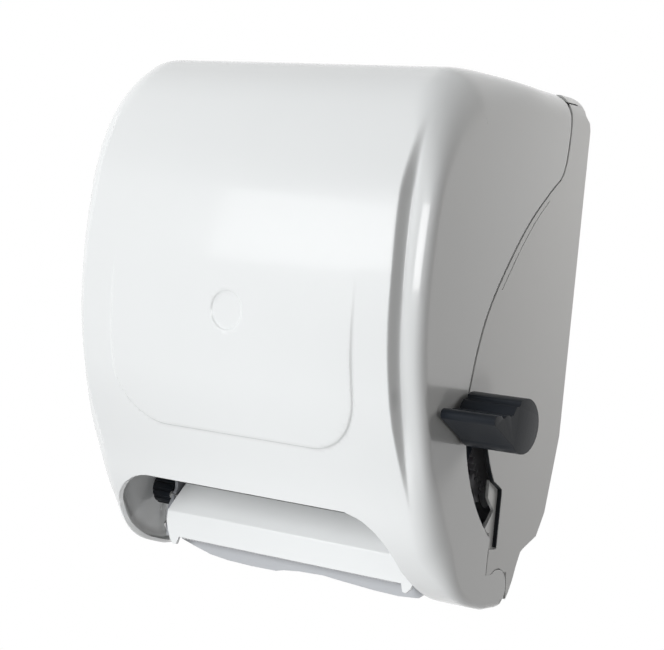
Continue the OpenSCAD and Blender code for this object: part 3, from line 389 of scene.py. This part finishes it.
def front_boundary(xs, s_top, s_low):
    """Round the skin in (x, s): the seam at the top, the right edge and foot, the cut-out, the left foot."""
    top = [(x, rear_s(x)) for x in xs]
    right = [(EDGE, s) for s in np.arange(s_top + 2.5, s_low - 1, 3.0)]
    rc = (HW - 81, CUT_Z - 41.5)
    lc = (-(HW - 60), CUT_Z - 52)
    lx = lc[0] - 52
    right_foot = [(x, floor_s(x)) for x in np.linspace(EDGE, FOOT_X, 14)]
    outline = (line((FOOT_X, 3), (rc[0] + 41.5, rc[1] + 2), 2.0) + arc(rc, 41.5, 3, 90, 34)
               + line((rc[0], CUT_Z), (lc[0], CUT_Z), 3.0) + arc(lc, 52, 90, 180, 42)
               + line((lx, lc[1]), (lx, 2.5), 2.0))
    cut = [(FOOT_X, s) for s in np.arange(floor_s(FOOT_X) - 3, s_at_z(FOOT_X, 3.0) + 1, -3.0)]
    cut += [(x, s_at_z(x, z)) for x, z in outline]
    cut += [(lx, s) for s in np.arange(s_at_z(lx, 2.5) + 3, floor_s(lx) - 1, 3.0)]
    left_foot = [(x, floor_s(x)) for x in np.linspace(lx, -EDGE, 6)]
    left = [(-x, s) for x, s in right[::-1]]
    return np.array(top + right + right_foot + cut + left_foot + left), right


def relief_lines():
    """Lines that the mesh keeps: the edge of the raised panel and of the badge recess."""
    loops = []
    for d in (0.0, 0.55, 1.1, 1.65):
        r = PANEL_R - d
        w, b = PANEL[0] - d, PANEL[1] + d
        p = (line((-w, PANEL_TOP), (-w, b + r), 4) + arc((-w + r, b + r), r, 180, 270, 30)
             + line((-w + r, b), (w - r, b), 4) + arc((w - r, b + r), r, 270, 360, 30)
             + line((w, b + r), (w, PANEL_TOP), 4))
        loops.append((np.array([(q[0], s) for q, s in zip(p, front_s([q[1] for q in p]))]), False))
    for r in (DISC[0] - 0.6, DISC[0] - 0.2, DISC[0] + 0.2, DISC[0] + 0.6):
        p = arc((0, DISC[1]), r, 0, 360, 48)
        loops.append((np.array([(q[0], s) for q, s in zip(p, front_s([q[1] for q in p]))]), True))
    return loops


def side_boundary(right, s_top, s_low):
    """Round a flat side in (y, z): the skin's edge, the hinge lobe, the lever slot and the seam."""
    edge = [tuple(skin(np.array([EDGE]), np.array([s]))[0, 1:]) for _, s in [(0, s_top)] + right + [(0, s_low)]]
    seam = curve(SEAM_POINTS, 10)
    slot_end = math.radians(178.5)
    slot_top = (PIVOT[0] + SLOT_R * math.cos(slot_end), PIVOT[1] + SLOT_R * math.sin(slot_end))
    seam_part = [tuple(p) for p in seam[::-1] if slot_top[1] + 1.5 < p[1] < edge[0][1] - 1.5]
    lobe = math.degrees(math.atan2(edge[-1][1] - HINGE[1], edge[-1][0] - HINGE[0]))
    side = edge + arc(HINGE, HINGE_R, lobe, 126.87, 30)[1:] + [(-87.0, 27.0), (-95.5, 27.0)]
    side += line((-95.5, 28.5), (-95.5, 46), 3)
    side += [(-95.5, 46.0)] + arc(PIVOT, SLOT_R, 234, 178.5, 44) + [slot_top] + seam_part
    return np.array(side)


def cover_mesh():
    """The cover as one walled shell: an outer and an inner face, joined round every edge."""
    xs = columns()
    xs = np.r_[-xs[:0:-1], xs]
    gx, gs = np.meshgrid(xs, np.arange(20, CS[-1], 3.2))
    grid = np.c_[gx.ravel(), gs.ravel()]
    s_top, s_low = rear_s(EDGE), floor_s(EDGE)
    boundary, right = front_boundary(xs, s_top, s_low)
    lock_s = CS[np.argmin(np.abs(CP[:, 0] - LOCK[0]) + 1000 * (CS > 120))]
    hole = np.array(arc((0, lock_s), LOCK[1], 0, 360, 40))
    v, f = triangulate(boundary, relief_lines(), grid[~near(grid, hole, 3.0)], [hole])
    outer, inner, faces = [skin(v[:, 0], v[:, 1])], [skin(v[:, 0], v[:, 1], WALL)], [f]
    side = side_boundary(right, s_top, s_low)
    gy, gz = np.meshgrid(np.arange(-230, 0, 7.0), np.arange(0, 410, 7.0))
    pts = np.c_[gy.ravel(), gz.ravel()]
    v2, f2 = triangulate(side, [], pts[~near(pts, side, 3.0)])
    base = len(v)
    for sx in (1, -1):
        outer.append(np.c_[np.full(len(v2), sx * HW), v2])
        inner.append(np.c_[np.full(len(v2), sx * (HW - WALL)), v2])
        faces.append((f2 if sx > 0 else f2[:, ::-1]) + base)
        base += len(v2)
    outer, inner, faces = np.vstack(outer), np.vstack(inner), np.vstack(faces)
    # Where a flat side meets the skin, its points become the skin's.
    target = np.arange(len(outer))
    rim = np.where(np.abs(np.abs(v[:, 0]) - EDGE) < 1e-3)[0]
    for i in range(len(v), len(outer)):
        d = np.abs(outer[rim] - outer[i]).max(1)
        k = int(np.argmin(d))
        if d[k] < 0.02:
            target[i] = rim[k]
    faces = target[faces]
    faces = faces[(faces[:, 0] != faces[:, 1]) & (faces[:, 1] != faces[:, 2]) & (faces[:, 0] != faces[:, 2])]
    # The outer face points away from a place inside the cover.
    n = np.cross(outer[faces[:, 1]] - outer[faces[:, 0]], outer[faces[:, 2]] - outer[faces[:, 0]])
    flip = (n * (outer[faces].mean(1) - np.array([0, -110, 200]))).sum(1) < 0
    faces[flip] = faces[flip][:, ::-1]
    directed = dict.fromkeys((a, b) for t in faces for a, b in ((t[0], t[1]), (t[1], t[2]), (t[2], t[0])))
    rim_edges = [(a, b) for a, b in directed if (b, a) not in directed]
    n0 = len(outer)
    every = [tuple(t) for t in faces] + [(t[0] + n0, t[2] + n0, t[1] + n0) for t in faces]
    every += [(b, a, a + n0, b + n0) for a, b in rim_edges]
    me = bpy.data.meshes.new("cover_shell")
    me.from_pydata([tuple(q) for q in row(np.vstack([outer, inner]))], [],
                   [tuple(int(i) for i in t) for t in every])
    bm = bmesh.new()
    bm.from_mesh(me)
    bmesh.ops.delete(bm, geom=[q for q in bm.verts if not q.link_faces], context="VERTS")
    bmesh.ops.dissolve_degenerate(bm, edges=bm.edges, dist=1e-6)
    for q in bm.faces:
        q.smooth = True
    for e in bm.edges:
        if len(e.link_faces) == 2 and e.calc_face_angle(0) > math.radians(50):
            e.smooth = False
    bm.to_mesh(me)
    bm.free()
    return me


def add(name, me, body, material):
    """Puts a mesh in the scene as a piece that rides on a body."""
    o = bpy.data.objects.new(name, me)
    bpy.context.scene.collection.objects.link(o)
    o.data.materials.clear()
    o.data.materials.append(material)
    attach(o, body)
    return o


cover = add("cover_shell", cover_mesh(), "cover", WHITE)
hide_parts("front_cover")


def solid(name, boxes, body, material):
    """Boxes in mm, as (x0, x1, y0, y1, z0, z1), and tubes, as (x, y, r0, r1, z0, z1, "tube")."""
    verts, faces = [], []
    for b in boxes:
        n = len(verts)
        if b[-1] == "tube":
            x, y, r0, r1, z0, z1 = b[:6]
            m = 40
            for r, z in ((r0, z0), (r1, z0), (r1, z1), (r0, z1)):
                verts += [(x + r * math.cos(2 * math.pi * k / m), y + r * math.sin(2 * math.pi * k / m), z)
                          for k in range(m)]
            faces += [(n + j * m + k, n + j * m + (k + 1) % m,
                       n + (j + 1) % 4 * m + (k + 1) % m, n + (j + 1) % 4 * m + k)
                      for j in range(4) for k in range(m)]
            continue
        x0, x1, y0, y1, z0, z1 = b
        verts += [(x, y, z) for z in (z0, z1) for y in (y0, y1) for x in (x0, x1)]
        faces += [tuple(n + i for i in q) for q in ((0, 2, 3, 1), (4, 5, 7, 6), (0, 1, 5, 4), (2, 6, 7, 3),
                                                    (0, 4, 6, 2), (1, 3, 7, 5))]
    me = bpy.data.meshes.new(name)
    me.from_pydata([tuple(q) for q in row(verts)], [], faces)
    bm = bmesh.new()
    bm.from_mesh(me)
    bmesh.ops.recalc_face_normals(bm, faces=bm.faces)
    bm.to_mesh(me)
    bm.free()
    return add(name, me, body, material)


# Ribs and the lock's boss inside the cover.
ribs = [(x - 1, x + 1, -CASE_D - 3.5, -CASE_D + 12, 182, 300) for x in (-90, -45, 45, 90)]
ribs += [(s * 40 - 1.2, s * 40 + 1.2, -95, -50, CASE_H - 16, CASE_H - 3.6) for s in (-1, 1)]
ribs.append((0, LOCK[0], 9.6, 13, CASE_H - 22, CASE_H - 2.4, "tube"))
solid("cover_ribs", ribs, "cover", WHITE)

# ------------------------------------------------------------------ carried-over CAD nodes

# Width in metres and steps of the rounding on the edges that show.
BEVELS = {"lever_grip": (0.0012, 3), "lever_arm": (0.0005, 2), "feed_knob": (0.0006, 2)}
slots = {s["node"]: s["material_slot"] for s in frame["record"]["subparts"]}
for name, o in frame["nodes"].items():
    if name == "front_cover":
        continue
    o.data.materials.clear()
    o.data.materials.append(NODE_MATERIAL.get(name, SLOT_MATERIAL[slots[name]]))
    for p in o.data.polygons:
        p.use_smooth = True
    w = o.modifiers.new("weld", "WELD")
    w.merge_threshold = 2e-6
    if name in BEVELS:
        b = o.modifiers.new("edge", "BEVEL")
        b.width, b.segments = BEVELS[name]
        b.limit_method, b.angle_limit = "ANGLE", math.radians(35)
        b.harden_normals = False
    e = o.modifiers.new("split", "EDGE_SPLIT")
    e.split_angle, e.use_edge_sharp = math.radians(32), False

# ------------------------------------------------------------------ camera, light and background

AMBIENT = 0.11                  # strength of the room's light on the object
FRAME_PX, FOCAL_PX, SENSOR = 664, 1898, 36
CAMERA_AT = (850.3, -1333.4, 247.2)
YAW, PITCH, ROLL = 0.6022, 0.03202, -0.09818

cam = bpy.data.objects.new("camera", bpy.data.cameras.new("camera"))
bpy.context.scene.collection.objects.link(cam)
ahead = np.array([-math.sin(YAW) * math.cos(PITCH), math.cos(YAW) * math.cos(PITCH), -math.sin(PITCH)])
level = np.array([math.cos(YAW), math.sin(YAW), 0])
down = np.cross(ahead, level)
across = math.cos(ROLL) * level + math.sin(ROLL) * down
down = -math.sin(ROLL) * level + math.cos(ROLL) * down
turn = Matrix([[across[k], -down[k], -ahead[k]] for k in range(3)])
cam.matrix_world = Matrix.Translation(Vector(row(CAMERA_AT))) @ turn.to_4x4()
cam.data.sensor_width, cam.data.lens = SENSOR, FOCAL_PX / FRAME_PX * SENSOR
cam.data.clip_start, cam.data.clip_end = 0.05, 50
bpy.context.scene.camera = cam

# The room: soft light on the object, and a white background for the camera, gloss and glass.
world = bpy.data.worlds.new("studio")
bpy.context.scene.world = world
world.use_nodes = True
t = world.node_tree
t.nodes.clear()
out = t.nodes.new("ShaderNodeOutputWorld")
seen = t.nodes.new("ShaderNodeBackground")
light = t.nodes.new("ShaderNodeBackground")
light.inputs["Strength"].default_value = AMBIENT
light.inputs["Color"].default_value = (1.0, 0.985, 0.965, 1)
path = t.nodes.new("ShaderNodeLightPath")
glossy = t.nodes.new("ShaderNodeMath")
glossy.operation = "MAXIMUM"
wire(t, path.outputs["Is Glossy Ray"], glossy.inputs[0])
wire(t, path.outputs["Is Transmission Ray"], glossy.inputs[1])
both = t.nodes.new("ShaderNodeMath")
both.operation = "MAXIMUM"
wire(t, path.outputs["Is Camera Ray"], both.inputs[0])
wire(t, glossy.outputs[0], both.inputs[1])
mixer = t.nodes.new("ShaderNodeMixShader")
wire(t, both.outputs[0], mixer.inputs["Fac"])
wire(t, light.outputs[0], mixer.inputs[1])
wire(t, seen.outputs[0], mixer.inputs[2])
wire(t, mixer.outputs[0], out.inputs["Surface"])
seen.inputs["Color"].default_value = (1, 1, 1, 1)


def area(name, at, to, size, power, colour=(1, 1, 1), mirrored=False):
    """A soft lamp that the gloss doesn't mirror, or with mirrored one that only the gloss shows."""
    l = bpy.data.lights.new(name, "AREA")
    l.energy, l.color, l.shape = power, colour, "RECTANGLE"
    l.size, l.size_y = size if isinstance(size, tuple) else (size, size)
    o = bpy.data.objects.new(name, l)
    bpy.context.scene.collection.objects.link(o)
    o.location = at
    o.rotation_euler = (Vector(to) - Vector(at)).to_track_quat("-Z", "Y").to_euler()
    o.visible_glossy, o.visible_diffuse = mirrored, not mirrored
    return o


COOL, WARM = (0.975, 0.99, 1.0), (1.0, 0.98, 0.955)
area("key", (-0.75, -2.6, 0.3), (0, -0.15, 0), 1.5, 58, COOL)
area("top", (-0.15, -0.5, 2.4), (0, -0.12, 0.1), 1.0, 9.5, COOL)
area("low", (0.12, -0.5, -0.42), (-0.14, -0.14, -0.2), 0.15, 0.7, COOL)
area("side", (1.5, -0.5, -0.45), (0.16, -0.1, -0.12), 0.3, 1.5, WARM)
area("left", (-2.2, -0.6, 0.4), (0, -0.12, 0), 1.2, 10)
area("wall", (0.5, 0.2, 0.2), (0.16, -0.03, 0.05), 0.25, 0.62, WARM)
area("behind", (-0.3, 2.2, 0.7), (0, 0, 0), 1.2, 12)
# A window and a door that only show in the gloss: the window on the front, the door on the rim.
area("window", (-1.43, -2.5, 0.33), (0.07, -0.233, 0.03), (0.62, 0.5), 1.8, (1, 1, 1), True)
area("door", (1.3, -2.5, 0.3), (0.15, -0.22, 0.03), (1.5, 0.8), 20, (1, 1, 1), True)

scene = bpy.context.scene
scene.view_settings.view_transform = "Standard"
scene.view_settings.look = "None"
scene.view_settings.exposure = 0
scene.view_settings.gamma = 1
